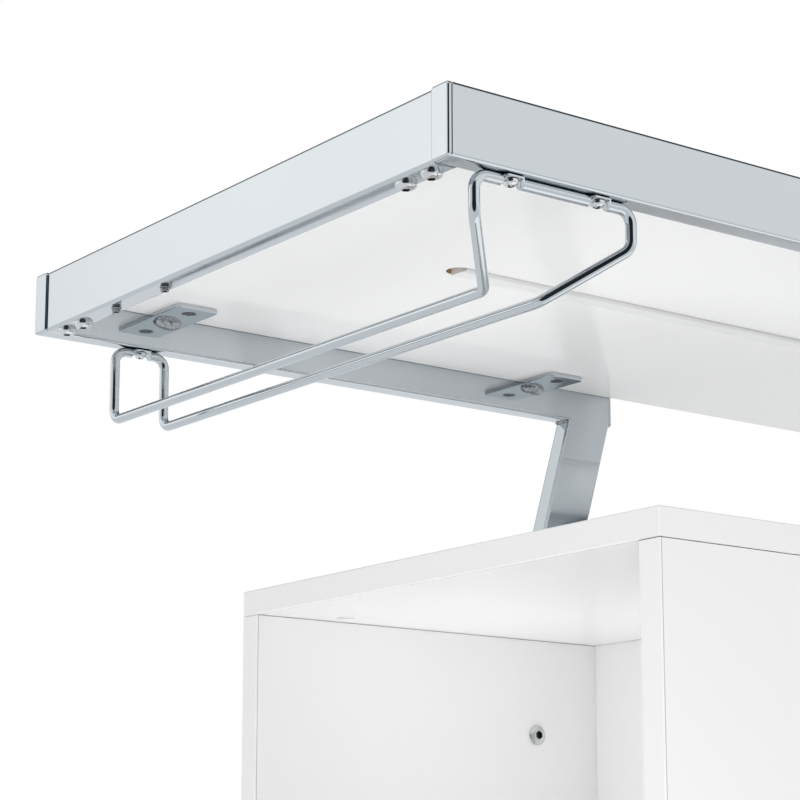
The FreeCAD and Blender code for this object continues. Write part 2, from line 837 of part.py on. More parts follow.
def save_carcass():
    """Top, bottom, side panels, dividers and shelves."""
    dowel_holes = upright_dowels(running_gap)
    pin_sinks = both_x(cam_pin_shapes(running_gap))
    end_holes = both_x(level_dowels(running_gap))
    side_holes = leg_bolt_holes() + pin_holes()
    top = board(-cabinet_half, cabinet_half, -side_outer, side_outer, ceiling, cabinet_top)
    save("top_panel", drilled(top, dowel_holes + pin_sinks + ceiling_bores()))
    bottom = board(-cabinet_half, cabinet_half, -side_outer, side_outer, glide_height, floor_top)
    save("bottom_panel", drilled(bottom, dowel_holes + pin_sinks))
    far = board(-cabinet_half, cabinet_half, side_inner, side_outer, floor_top, ceiling)
    save("far_side_panel", drilled(far, dowel_holes + end_holes + side_holes))
    near = board(-cabinet_half, -bay_half, -side_outer, -side_inner, floor_top, ceiling)
    near = drilled(near, dowel_holes + end_holes + side_holes)
    save("near_left_panel", near)
    save("near_right_panel", mirror_x(near))
    divider = board(-divider_outer, -bay_half, -side_inner, side_inner, floor_top, ceiling)
    holes = cam_shapes(running_gap) + cam_pin_shapes(running_gap) + level_dowels(running_gap)
    divider = drilled(divider, holes + housings())
    save("left_divider", divider)
    save("right_divider", mirror_x(divider))
    save("left_shelf", make_loose_shelf())
    save("right_shelf", mirror_x(make_loose_shelf()))


def save_fittings():
    """Everything that holds the cabinet together and stands it on the floor."""
    save("cam_locks", group(both_x(cam_shapes(0))))
    save("cam_pins", group(both_x(cam_pin_shapes(0))))
    save("carcass_dowels", group(upright_dowels(0) + both_x(level_dowels(0))))
    save("left_shelf_pins", group(shelf_pins()))
    save("right_shelf_pins", group([mirror_x(pin) for pin in shelf_pins()]))
    save("leg_bolts", group(leg_bolts()))
    save("floor_glides", group(floor_glides()))


def floor_glides():
    """Round glides under the bottom panel."""
    reach = cabinet_half - glide_inset
    side = side_outer - glide_inset
    feet = [Vector(x, y, 0) for x in (-reach, 0, reach) for y in (-side, side)]
    return [rod(glide / 2, foot, foot + Vector(0, 0, glide_height), glide_turns) for foot in feet]


def save_counter():
    save("counter_board", make_counter_board())
    save("stiffener_bar", make_stiffener())
    save("tab_screws", group(tab_screws()))


def main():
    os.makedirs("parts", exist_ok=True)
    save_counter()
    save_frame("left", lambda shape: shape)
    save_frame("right", mirror_x)
    save_carcass()
    save_bay()
    save_fittings()


main()
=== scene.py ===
import math

import bmesh
import bpy
from mathutils import Matrix, Vector, noise


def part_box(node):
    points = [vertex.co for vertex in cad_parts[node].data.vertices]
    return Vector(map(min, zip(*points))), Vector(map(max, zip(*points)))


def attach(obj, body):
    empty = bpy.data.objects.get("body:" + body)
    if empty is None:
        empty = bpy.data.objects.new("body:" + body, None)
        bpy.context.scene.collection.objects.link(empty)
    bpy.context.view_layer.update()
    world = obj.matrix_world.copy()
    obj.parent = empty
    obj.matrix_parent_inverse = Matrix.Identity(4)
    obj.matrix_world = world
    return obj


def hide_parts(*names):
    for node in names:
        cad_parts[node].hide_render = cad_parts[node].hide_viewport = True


# Bar cabinet with a raised counter in chrome frames.
# Metres. X runs along the counter, Y from the serving side to the guests' side, Z up.

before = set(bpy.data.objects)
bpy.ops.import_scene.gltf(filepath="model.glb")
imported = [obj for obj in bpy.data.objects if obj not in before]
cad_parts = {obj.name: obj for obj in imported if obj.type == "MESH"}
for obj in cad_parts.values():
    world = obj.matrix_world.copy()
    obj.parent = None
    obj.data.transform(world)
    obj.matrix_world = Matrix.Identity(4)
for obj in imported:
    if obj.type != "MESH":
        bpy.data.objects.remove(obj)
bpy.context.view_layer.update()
ends = {"left": -1, "right": 1}  # the two frames and their sides of X
sideX = Vector((1, 0, 0))
sideY = Vector((0, 1, 0))
up = Vector((0, 0, 1))
noise.seed_set(7)  # without it the weld lumps differ from run to run
print("frame loaded")


# Node helpers

def addNode(tree, kind, **values):
    node = tree.nodes.new(kind)
    for key, value in values.items():
        if key in node.inputs:
            node.inputs[key].default_value = value
        else:
            setattr(node, key, value)
    return node


def setSockets(node, values):
    for key, value in values.items():
        node.inputs[key].default_value = value


def join(tree, source, target):
    tree.links.new(source, target)


def feed(tree, value, socket):
    # a link from another socket, or a fixed value
    if isinstance(value, bpy.types.NodeSocket):
        join(tree, value, socket)
    else:
        socket.default_value = value


def calculate(tree, operation, *terms):
    # a math node on sockets and plain numbers
    node = addNode(tree, "ShaderNodeMath", operation=operation)
    for term, socket in zip(terms, node.inputs):
        feed(tree, term, socket)
    return node.outputs[0]


def mixColour(tree, share, under, over, blend="MIX"):
    mix = addNode(tree, "ShaderNodeMix", data_type="RGBA", blend_type=blend)
    for value, index in ((share, 0), (under, 6), (over, 7)):
        feed(tree, value, mix.inputs[index])
    return mix.outputs[2]


def objectPlace(tree):
    # the object coordinates, whole and as three axes
    place = addNode(tree, "ShaderNodeTexCoord").outputs["Object"]
    split = addNode(tree, "ShaderNodeSeparateXYZ")
    join(tree, place, split.inputs["Vector"])
    return place, split.outputs


def newGroup(name, inputs, output, kind):
    group = bpy.data.node_groups.new(name, "ShaderNodeTree")
    for label, value in inputs.items():
        socket = group.interface.new_socket(name=label, in_out="INPUT", socket_type="NodeSocketFloat")
        socket.default_value = value
    group.interface.new_socket(name=output, in_out="OUTPUT", socket_type=kind)
    return group, group.nodes.new("NodeGroupInput"), group.nodes.new("NodeGroupOutput")


def useGroup(tree, group, **values):
    return addNode(tree, "ShaderNodeGroup", node_tree=group, **values)


def makeCloud(name, inputs, texture, spreadFrom, spreadKind):
    # cloudy noise on the object, spread between low and high
    group, start, end = newGroup(name, inputs, "mask", "NodeSocketFloat")
    place = addNode(group, "ShaderNodeTexCoord")
    cloud = addNode(group, "ShaderNodeTexNoise", **texture)
    spread = addNode(group, "ShaderNodeMapRange", interpolation_type=spreadKind)
    setSockets(spread, {"From Min": spreadFrom[0], "From Max": spreadFrom[1]})
    join(group, place.outputs["Object"], cloud.inputs["Vector"])
    join(group, start.outputs["scale"], cloud.inputs["Scale"])
    join(group, cloud.outputs["Fac"], spread.inputs["Value"])
    join(group, start.outputs["low"], spread.inputs["To Min"])
    join(group, start.outputs["high"], spread.inputs["To Max"])
    join(group, spread.outputs["Result"], end.inputs["mask"])
    return group


def makeRipple():
    # slow waves of a rolled or lacquered face, as a normal
    group, start, end = newGroup("ripple", {"scale": 60, "depth": 0.1, "height": 0.0002}, "normal",
                                 "NodeSocketVector")
    place = addNode(group, "ShaderNodeTexCoord")
    wave = addNode(group, "ShaderNodeTexNoise", Detail=2, Roughness=0.45)
    bump = addNode(group, "ShaderNodeBump")
    join(group, place.outputs["Object"], wave.inputs["Vector"])
    join(group, start.outputs["scale"], wave.inputs["Scale"])
    join(group, start.outputs["depth"], bump.inputs["Strength"])
    join(group, start.outputs["height"], bump.inputs["Distance"])
    join(group, wave.outputs["Fac"], bump.inputs["Height"])
    join(group, bump.outputs["Normal"], end.inputs["normal"])
    return group


# soft handling marks
smudges = makeCloud("smudges", {"scale": 14, "low": 0.05, "high": 0.12},
                    {"Detail": 5, "Roughness": 0.62, "Distortion": 0.4}, (0.38, 0.68), "SMOOTHSTEP")
# colour that drifts a little between two shades
tint = makeCloud("tint", {"scale": 6, "low": 0.8, "high": 0.85}, {"Detail": 3, "Roughness": 0.5},
                 (0.35, 0.65), "LINEAR")
ripple = makeRipple()


def startMaterial(name):
    material = bpy.data.materials.new(name)
    material.use_nodes = True
    tree = material.node_tree
    tree.nodes.clear()
    shader = tree.nodes.new("ShaderNodeBsdfPrincipled")
    output = tree.nodes.new("ShaderNodeOutputMaterial")
    join(tree, shader.outputs["BSDF"], output.inputs["Surface"])
    return material, tree, shader


def greyToColour(tree, grey, colour):
    # a drifting grey times a fixed colour
    return mixColour(tree, 1, (*colour, 1), grey, "MULTIPLY")


def makeFinish(name, look, paint=None, *settings):
    # drifting colour, handling marks and a soft ripple, with a pattern over the colour if one is given
    material, tree, shader = startMaterial(name)
    setSockets(shader, look["shader"])
    shade = useGroup(tree, tint, scale=look["tintScale"], low=look["greyLow"], high=1)
    colour = greyToColour(tree, shade.outputs["mask"], look["colour"])
    if paint:
        colour = paint(tree, colour, *settings)
    join(tree, colour, shader.inputs["Base Color"])
    marks = useGroup(tree, smudges, scale=look["markScale"], low=look["roughLow"], high=look["roughHigh"])
    join(tree, marks.outputs["mask"], shader.inputs["Roughness"])
    waves = useGroup(tree, ripple, scale=look["rippleScale"], depth=look["rippleDepth"])
    join(tree, waves.outputs["normal"], shader.inputs["Normal"])
    return material


def jointAndShadeLines(tree, colour, lines):
    # thin dark lines for glue joints and for painted shade, each given by its tone and its place on one or
    # more axes
    axes = objectPlace(tree)[1]
    for tone, line in lines:
        mask = 1
        for axis, (middle, half) in line.items():
            along = axes[axis]
            if axis == "X":  # both ends alike
                along = calculate(tree, "ABSOLUTE", along)
            mask = calculate(tree, "MULTIPLY", mask, calculate(tree, "COMPARE", along, middle, half))
        colour = mixColour(tree, mask, colour, (tone, tone, tone, 1))
    return colour


def bareCore(tree, colour, core, groove):
    # the board's raw core shows inside the groove
    place, axes = objectPlace(tree)
    above = calculate(tree, "GREATER_THAN", axes["Z"], groove["low"])
    below = calculate(tree, "LESS_THAN", axes["Z"], groove["high"])
    inside = calculate(tree, "LESS_THAN", calculate(tree, "ABSOLUTE", axes["Y"]), groove["halfWidth"])
    bare = calculate(tree, "MULTIPLY", calculate(tree, "MULTIPLY", above, below), inside)
    chips = addNode(tree, "ShaderNodeTexNoise", Scale=core["grain"], Detail=4, Roughness=0.7)
    join(tree, place, chips.inputs["Vector"])
    grain = greyToColour(tree, chips.outputs["Fac"], [core["gain"] * value for value in core["colour"]])
    return mixColour(tree, bare, colour, grain)


chromeLook = {"shader": {"Metallic": 1.0}, "colour": (0.560, 0.598, 0.625), "tintScale": 5, "greyLow": 0.97,
              "markScale": 16, "roughLow": 0.05, "roughHigh": 0.08, "rippleScale": 22, "rippleDepth": 0.04}
screwLook = {"shader": {"Metallic": 1.0}, "colour": (0.72, 0.73, 0.74), "tintScale": 90, "greyLow": 0.85,
             "markScale": 240, "roughLow": 0.10, "roughHigh": 0.28, "rippleScale": 700, "rippleDepth": 0.25}
threadLook = {"shader": {"Metallic": 1.0}, "colour": (0.34, 0.35, 0.36), "tintScale": 200, "greyLow": 0.7,
              "markScale": 300, "roughLow": 0.12, "roughHigh": 0.3, "rippleScale": 900, "rippleDepth": 0.3}
# near black: the tab screws' own dark colour, and painted shade inside the bored holes, sockets and cross
# recesses
darkScrewAndRecessShadeLook = {"shader": {"Metallic": 0.6}, "colour": (0.045, 0.047, 0.05), "tintScale": 200, "greyLow": 0.6,
              "markScale": 300, "roughLow": 0.25, "roughHigh": 0.5, "rippleScale": 900, "rippleDepth": 0.3}
# zinc darkened well below its own grey: painted shade of the cam locks' recessed bores, also used for the
# other zinc fittings
zincWithPaintedShadeLook = {"shader": {"Metallic": 1.0}, "colour": (0.20, 0.20, 0.20), "tintScale": 120, "greyLow": 0.8,
            "markScale": 260, "roughLow": 0.25, "roughHigh": 0.45, "rippleScale": 800, "rippleDepth": 0.4}
nickelLook = {"shader": {"Metallic": 1.0}, "colour": (0.70, 0.68, 0.64), "tintScale": 150, "greyLow": 0.9,
              "markScale": 200, "roughLow": 0.14, "roughHigh": 0.26, "rippleScale": 600, "rippleDepth": 0.2}
plasticLook = {"shader": {"Specular IOR Level": 0.4}, "colour": (0.50, 0.50, 0.50), "tintScale": 80,
               "greyLow": 0.92, "markScale": 150, "roughLow": 0.45, "roughHigh": 0.6, "rippleScale": 1500,
               "rippleDepth": 0.35}
weldLook = {"shader": {"Metallic": 1.0}, "colour": (0.50, 0.52, 0.54), "tintScale": 260, "greyLow": 0.7,
            "markScale": 500, "roughLow": 0.18, "roughHigh": 0.36, "rippleScale": 500, "rippleDepth": 0.4}
beechLook = {"shader": {"Specular IOR Level": 0.3}, "colour": (0.70, 0.50, 0.30), "tintScale": 60,
             "greyLow": 0.8, "markScale": 90, "roughLow": 0.5, "roughHigh": 0.7, "rippleScale": 500,
             "rippleDepth": 0.4}
barLook = {"shader": {"Specular IOR Level": 0.45}, "colour": (0.88, 0.88, 0.88), "tintScale": 9,
           "greyLow": 0.97, "markScale": 30, "roughLow": 0.3, "roughHigh": 0.42, "rippleScale": 1800,
           "rippleDepth": 0.2}
lacquer = {"shader": {"Specular IOR Level": 0.15}, "colour": (0.93, 0.93, 0.93), "tintScale": 3,
           "greyLow": 0.985, "markScale": 9, "roughLow": 0.09, "roughHigh": 0.11, "rippleScale": 300,
           "rippleDepth": 0.02}
counterLook = {**lacquer, "shader": {"Specular IOR Level": 0.08}}
core = {"colour": (0.36, 0.22, 0.12), "gain": 2, "grain": 900}

chrome = makeFinish("chromePlate", chromeLook)
screwSteel = makeFinish("screwSteel", screwLook)
darkScrew = makeFinish("darkScrew", darkScrewAndRecessShadeLook)
threadSteel = makeFinish("threadSteel", threadLook)
zincWithPaintedShade = makeFinish("zincFitting", zincWithPaintedShadeLook)
nickel = makeFinish("nickelPin", nickelLook)
greyPlastic = makeFinish("greyPlastic", plasticLook)
weldMetal = makeFinish("weldBead", weldLook)
beech = makeFinish("beechDowel", beechLook)

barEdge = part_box("stiffener_bar")[0].y
barPaintedShade = [(0.78, {"Y": (barEdge, 0.0060)}), (0.73, {"Y": (barEdge, 0.0042)}),
            (0.68, {"Y": (barEdge, 0.0026)})]  # painted shade in three soft steps beside the groove's near edge, where the bar's edge falls in shade
whiteBar = makeFinish("whiteBar", barLook, jointAndShadeLines, barPaintedShade)

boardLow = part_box("counter_board")[0]
grooveBox = {"low": boardLow.z + 0.0003, "high": boardLow.z + 0.0095, "halfWidth": 0.0085}
counterWhite = makeFinish("counterLacquer", counterLook, bareCore, core, grooveBox)

topLow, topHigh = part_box("top_panel")
bandJoint = (topHigh.x - 0.0012, 0.00025)  # the edge band's joint beside each open end
bandLine = (0.48, {"X": bandJoint})
sideJointShade = (0.14, {"Z": (topLow.z - 0.0003, 0.0003)})  # painted shade in the joint where the side meets the top
# painted shade in the joint where the far side meets the top
farJointShade = (0.45, {"Z": (topLow.z - 0.0002, 0.0002)})
topLine = (0.3, {"X": bandJoint, "Z": (topLow.z, 0.0002)})
panelWhite = makeFinish("panelLacquer", lacquer)
sideWhite = makeFinish("sideLacquer", lacquer, jointAndShadeLines, [bandLine, sideJointShade])
farWhite = makeFinish("farLacquer", lacquer, jointAndShadeLines, [bandLine, farJointShade])
topWhite = makeFinish("topLacquer", lacquer, jointAndShadeLines, [topLine])
print("materials made")


# Finishes of the nodes that no piece replaces, by their names without left and right; the rest is white panel

nodeFinish = {"near_panel": sideWhite, "far_side_panel": farWhite, "top_panel": topWhite,
              "counter_board": counterWhite, "stiffener_bar": whiteBar, "cam_locks": zincWithPaintedShade, "cam_pins": zincWithPaintedShade,
              "carcass_dowels": beech, "floor_glides": greyPlastic, "tab_screws": darkScrew,
              "leg_caps": chrome, "corner_tongues": zincWithPaintedShade, "leg_spacers": greyPlastic, "shelf_pins": nickel}

for name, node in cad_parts.items():
    plainName = name.replace("left_", "").replace("right_", "")
    node.data.materials.clear()
    node.data.materials.append(nodeFinish.get(plainName, panelWhite))
print("nodes dressed")


# Mesh helpers

def once(items):
    # each item once, in the order of the first finds
    return list(dict.fromkeys(items))


def finishMesh(bm, name, materials, smoothBelow=40):
    # merge, turn the faces outward, and shade smooth except over sharp edges
    bmesh.ops.remove_doubles(bm, verts=bm.verts, dist=1e-6)
    bmesh.ops.recalc_face_normals(bm, faces=bm.faces)
    limit = math.radians(smoothBelow)
    for edge in bm.edges:
        edge.smooth = len(edge.link_faces) == 2 and edge.calc_face_angle(0) < limit
    for face in bm.faces:
        face.smooth = True
    mesh = bpy.data.meshes.new(name)
    bm.to_mesh(mesh)
    bm.free()
    for material in materials:
        mesh.materials.append(material)
    piece = bpy.data.objects.new(name, mesh)
    bpy.context.scene.collection.objects.link(piece)
    return piece


def addPiece(bm, name, materials, nodes=(), body="cabinet", smoothBelow=40):
    piece = finishMesh(bm, name, materials, smoothBelow)
    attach(piece, body)
    if nodes:
        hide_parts(*nodes)
    return piece


def holdFlats(piece):
    # flat faces keep their shading beside rounded edges
    even = piece.modifiers.new("evenNormals", "WEIGHTED_NORMAL")
    even.keep_sharp = True


def carve(piece, bm, materials):
    # cut the shapes in bm out of a piece; the cut faces take the cutter's finish, which for holes and sockets
    # is near-black painted shade
    cutter = finishMesh(bm, piece.name + "Cutter", materials)
    cut = piece.modifiers.new("carve", "BOOLEAN")
    cut.operation = "DIFFERENCE"
    cut.solver = "EXACT"
    cut.material_mode = "TRANSFER"
    cut.object = cutter
    bpy.context.view_layer.update()
    shaped = bpy.data.meshes.new_from_object(piece.evaluated_get(bpy.context.evaluated_depsgraph_get()))
    piece.modifiers.remove(cut)
    piece.data = shaped
    bpy.data.objects.remove(cutter)
    holdFlats(piece)


def cubeBetween(bm, low, high):
    size = Vector(high) - Vector(low)
    middle = (Vector(high) + Vector(low)) / 2
    made = bmesh.ops.create_cube(bm, size=1, matrix=Matrix.Translation(middle) @ Matrix.Diagonal((*size, 1)))
    return made["verts"]


def edgesOf(verts):
    return once(edge for vert in verts if vert.is_valid for edge in vert.link_edges)


def edgesAlong(edges, direction):
    return [edge for edge in edges
            if abs((edge.verts[0].co - edge.verts[1].co).normalized().dot(direction)) > 0.9999]


def rimAt(bm, x):
    # the edges in one cross plane
    return [edge for edge in bm.edges if all(abs(vert.co.x - x) < 1e-6 for vert in edge.verts)]


def roundOff(bm, edges, radius, segments):
    return bmesh.ops.bevel(bm, geom=edges, offset=radius, offset_type="OFFSET", segments=segments,
                           profile=0.5, affect="EDGES", material=-1, clamp_overlap=True)


def addTo(bm, part):
    # move the shapes of one mesh into another
    hold = bpy.data.meshes.new("hold")
    part.to_mesh(hold)
    part.free()
    bm.from_mesh(hold)
    bpy.data.meshes.remove(hold)


def spinProfile(bm, points, seat, along, steps):
    # turn a profile of (radius, distance along) pairs about an axis
    across = along.orthogonal().normalized()
    corners = [bm.verts.new(seat + across * radius + along * distance) for radius, distance in points]
    edges = [bm.edges.new(pair) for pair in zip(corners, corners[1:])]
    bmesh.ops.spin(bm, geom=corners + edges, cent=seat, axis=along, angle=2 * math.pi, steps=steps,
                   use_merge=True, use_duplicate=False)


# Chrome tube frames

tubeShape = {"corner": 0.0021, "segments": 6, "seam": 0.00035, "lean": math.radians(16.5), "depth": 0.038,
             "lengthShare": 1.3, "overrun": 0.05}
cornerWeld = {"radius": 0.0013, "steps": 11, "lump": 0.0005, "grain": 500, "outward": 0.0003}


def innerEnd(low, high):
    # how far from the middle an arm's inner end lies
    return min(abs(low.x), abs(high.x))


def tubeBar(bm, low, high):
    # a length of tube with rounded long edges and a fine break at both ends
    verts = cubeBetween(bm, low, high)
    roundOff(bm, edgesAlong(edgesOf(verts), sideX), tubeShape["corner"], tubeShape["segments"])
    for x in (low[0], high[0]):
        roundOff(bm, rimAt(bm, x), tubeShape["seam"], 1)


def legBar(bm, sign, inner, legLow, legHigh):
    # the leaning leg: a rounded bar, turned, then cut level at the foot and just inside the arm
    lean = tubeShape["lean"] * sign
    halfDepth = tubeShape["depth"] / 2
    halfWidth = (legHigh.y - legLow.y) / 2
    length = (legHigh.z - legLow.z) * tubeShape["lengthShare"]
    topMiddle = Vector((inner + sign * halfDepth / math.cos(lean), (legLow.y + legHigh.y) / 2, legHigh.z))
    verts = cubeBetween(bm, (-halfDepth, -halfWidth, -length), (halfDepth, halfWidth, tubeShape["overrun"]))
    roundOff(bm, edgesAlong(edgesOf(verts), up), tubeShape["corner"], tubeShape["segments"])
    bmesh.ops.rotate(bm, verts=bm.verts, cent=(0, 0, 0), matrix=Matrix.Rotation(-lean, 3, "Y"))
    bmesh.ops.translate(bm, verts=bm.verts, vec=topMiddle)
    cuts = ((Vector((0, 0, legHigh.z + tubeShape["corner"])), up), (Vector((0, 0, legLow.z)), -up),
            (Vector((inner, 0, 0)), sideX * -sign))
    for place, way in cuts:
        bmesh.ops.bisect_plane(bm, geom=bm.verts[:] + bm.edges[:] + bm.faces[:], plane_co=place, plane_no=way,
                               clear_outer=True, dist=1e-7)
        bmesh.ops.holes_fill(bm, edges=bm.edges)


def makeArms(side):
    for nearOrFar in ("near", "far"):
        armLow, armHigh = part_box(side + "_" + nearOrFar + "_arm")
        legLow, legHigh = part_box(side + "_" + nearOrFar + "_leg")
        bm = bmesh.new()
        legBar(bm, ends[side], ends[side] * innerEnd(armLow, armHigh), legLow, legHigh)
        arm = bmesh.new()
        tubeBar(arm, armLow, armHigh)
        addTo(bm, arm)
        nodes = [side + "_" + nearOrFar + "_arm", side + "_" + nearOrFar + "_leg"]
        holdFlats(addPiece(bm, side + nearOrFar.title() + "ArmAndLeg", [chrome], nodes))


def makeCornerWelds(side):
    # the short welds in the inner corners of arms and legs
    radius = cornerWeld["radius"]
    bm = bmesh.new()
    for nearOrFar in ("near", "far"):
        armLow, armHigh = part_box(side + "_" + nearOrFar + "_arm")
        inner = innerEnd(armLow, armHigh) + tubeShape["depth"] / math.cos(tubeShape["lean"])
        x = ends[side] * (inner + cornerWeld["outward"])
        room = armHigh.y - armLow.y - 2 * radius
        for step in range(cornerWeld["steps"]):
            place = Vector((x, armLow.y + radius + room * step / (cornerWeld["steps"] - 1), armLow.z))
            made = bmesh.ops.create_icosphere(bm, subdivisions=2, radius=radius,
                                              matrix=Matrix.Translation(place))
            for vert in made["verts"]:
                vert.co += noise.noise_vector(vert.co * cornerWeld["grain"]) * cornerWeld["lump"]
                vert.co.y = min(max(vert.co.y, armLow.y), armHigh.y)
    # the welds take the dark thread steel: partly their own grey, partly painted shade of the inner corner
    addPiece(bm, side + "CornerWelds", [threadSteel], smoothBelow=80)


# the beam's outer face stands a little proud, and its spare holes are bored from below
beamShape = {"holeRadius": 0.0030, "holeDepth": 0.007, "holeSides": 24, "swell": 0.0011}
spareScrew = {"pitch": 0.0010, "ridge": 0.0004, "socket": 0.0016, "deep": 0.0025, "lift": 0.0011, "sides": 32}


def spareScrewPlaces(side):
    # bottom ends of the screws that close the beam's spare holes
    low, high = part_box(side + "_spare_screws")
    x = (low.x + high.x) / 2
    radius = (high.x - low.x) / 2
    bottom = low.z + spareScrew["lift"]
    return [Vector((x, low.y + radius, bottom)), Vector((x, high.y - radius, bottom))]


def makeBeam(side):
    low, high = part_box(side + "_end_beam")
    outer = low if side == "left" else high
    outer.x += ends[side] * beamShape["swell"]
    bm = bmesh.new()
    cubeBetween(bm, low, high)
    roundOff(bm, edgesAlong(bm.edges, sideY), tubeShape["corner"], tubeShape["segments"])
    beam = addPiece(bm, side + "EndBeam", [chrome, darkScrew], [side + "_end_beam"])
    cutter = bmesh.new()
    for screw in spareScrewPlaces(side):
        bmesh.ops.create_cone(cutter, cap_ends=True, segments=beamShape["holeSides"],
                              radius1=beamShape["holeRadius"], radius2=beamShape["holeRadius"],
                              depth=beamShape["holeDepth"] * 2,
                              matrix=Matrix.Translation((screw.x, screw.y, low.z)))
    carve(beam, cutter, [darkScrew])


capShape = {"rim": 0.0013, "segments": 5}


def makeArmCaps(side):
    # plates that close the arms, with a rounded outer rim
    low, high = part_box(side + "_arm_caps")
    armLow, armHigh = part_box(side + "_near_arm")
    width = armHigh.y - armLow.y
    whole = bmesh.new()
    for x0, x1, outer, inner in ((low.x, armLow.x, low.x, armLow.x), (armHigh.x, high.x, high.x, armHigh.x)):
        for y0 in (low.y, high.y - width):
            bm = bmesh.new()
            cubeBetween(bm, (x0, y0, low.z), (x1, y0 + width, high.z))
            roundOff(bm, edgesAlong(bm.edges, sideX), tubeShape["corner"], tubeShape["segments"])
            roundOff(bm, rimAt(bm, outer), capShape["rim"], capShape["segments"])
            roundOff(bm, rimAt(bm, inner), tubeShape["seam"], 1)
            addTo(whole, bm)
    holdFlats(addPiece(whole, side + "ArmCaps", [chrome], [side + "_arm_caps"]))


# Tabs and their welds

tabShape = {"corner": 0.003, "cornerSegments": 6, "edge": 0.0004, "edgeSegments": 2, "width": 0.030,
            "length": 0.0385, "hole": 0.0269}
tabSink = {"low": 0.00545, "top": 0.0026, "depth": 0.004, "height": 0.0015, "sides": 32}
weldShape = {"length": 0.0066, "radius": 0.0046, "beads": 6, "taper": 0.2, "stretch": (0.95, 1.05, 0.9),
             "lump": 0.0013, "grain": 150, "seed": 7.3}


def tabPlaces(side):
    # the tab's box on each arm, as (low, high, direction from the arm)
    low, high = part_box(side + "_board_tabs")
    width = tabShape["width"]
    length = tabShape["length"]
    places = []
    for x0 in (low.x, high.x - width):
        places.append((Vector((x0, low.y, low.z)), Vector((x0 + width, low.y + length, high.z)), 1))
        places.append((Vector((x0, high.y - length, low.z)), Vector((x0 + width, high.y, high.z)), -1))
    return places


def makeTabs(side):
    bm = bmesh.new()
    cutter = bmesh.new()
    for low, high, way in tabPlaces(side):
        arm, free = (low.y, high.y) if way == 1 else (high.y, low.y)
        edges = edgesOf(cubeBetween(bm, low, high))
        corners = [edge for edge in edgesAlong(edges, up) if abs(edge.verts[0].co.y - free) < 1e-6]
        roundOff(bm, corners, tabShape["corner"], tabShape["cornerSegments"])
        middle = Vector(((low.x + high.x) / 2, arm + way * tabShape["hole"], low.z))
        bmesh.ops.create_cone(cutter, cap_ends=True, segments=tabSink["sides"], radius1=tabSink["low"],
                              radius2=tabSink["top"], depth=tabSink["depth"],
                              matrix=Matrix.Translation(middle + up * tabSink["height"]))
    sharp = [edge for edge in bm.edges if edge.calc_face_angle(0) > 1 and not edgesAlong([edge], up)]
    roundOff(bm, sharp, tabShape["edge"], tabShape["edgeSegments"])
    tabs = addPiece(bm, side + "BoardTabs", [chrome], [side + "_board_tabs"])
    carve(tabs, cutter, [chrome])


def weldBead(bm, middle, way):
    # a short run of overlapping beads in the corner between tab and arm
    shift = Vector((weldShape["seed"], 0, 0))
    stretch = Matrix.Diagonal((*weldShape["stretch"], 1))
    for step in range(weldShape["beads"]):
        share = step / (weldShape["beads"] - 1) * 2 - 1
        size = weldShape["radius"] * (1 - weldShape["taper"] * share * share)
        place = Matrix.Translation(middle + Vector((share * weldShape["length"], 0, 0)))
        made = bmesh.ops.create_icosphere(bm, subdivisions=3, radius=size, matrix=place @ stretch)
        for vert in made["verts"]:
            vert.co += noise.noise_vector(vert.co * weldShape["grain"] + shift) * weldShape["lump"]
            vert.co.z = min(vert.co.z, middle.z)
            beyond = (vert.co.y - middle.y) * way
            vert.co.y = middle.y + way * max(beyond, 0)


def makeTabWelds(side):
    bm = bmesh.new()
    for low, high, way in tabPlaces(side):
        arm = low.y if way == 1 else high.y
        weldBead(bm, Vector(((low.x + high.x) / 2, arm, low.z)), way)
    addPiece(bm, side + "TabWelds", [weldMetal], smoothBelow=80)


# Stemware racks

wireShape = {"radius": 0.003, "bend": 0.0075, "sides": 24, "bendSteps": 8, "hold": 0.0004,
             "seam": 0.0003, "seamSize": 0.95}
landShape = {"length": 0.0100, "taper": 0.0014, "width": 0.0104, "thickness": 0.0022, "reach": 0.02825}
rackShape = {"railDrop": 0.0486, "mouthDrop": 0.0228, "mouth": 0.051, "rail": 0.018, "mouthRun": 0.034}


